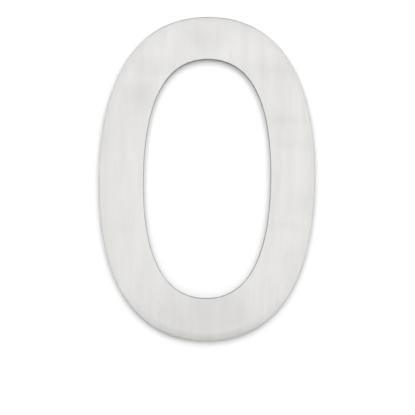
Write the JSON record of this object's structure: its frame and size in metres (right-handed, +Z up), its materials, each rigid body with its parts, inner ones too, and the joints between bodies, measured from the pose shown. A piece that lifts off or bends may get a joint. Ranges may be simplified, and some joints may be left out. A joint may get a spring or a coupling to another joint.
{
  "type": "house number",
  "caption": "Flat brushed steel numeral zero, a tall oval ring cut from plate, with blind tapped holes in its back for wall studs.",
  "frame": {"origin": "middle of the numeral on its back face, which lies against the wall, and middle of the line between the tapped holes", "axes": "+X to the reader's right, +Y into the wall, +Z up"},
  "size_m": [0.1016, 0.004, 0.1524],
  "materials": {
    "brushed_stainless": "stainless steel plate, face brushed with a vertical grain, cut edges dull and a little darker"
  },
  "bodies": {
    "root": {"number_plate": "brushed_stainless"}
  },
  "joints": []
}
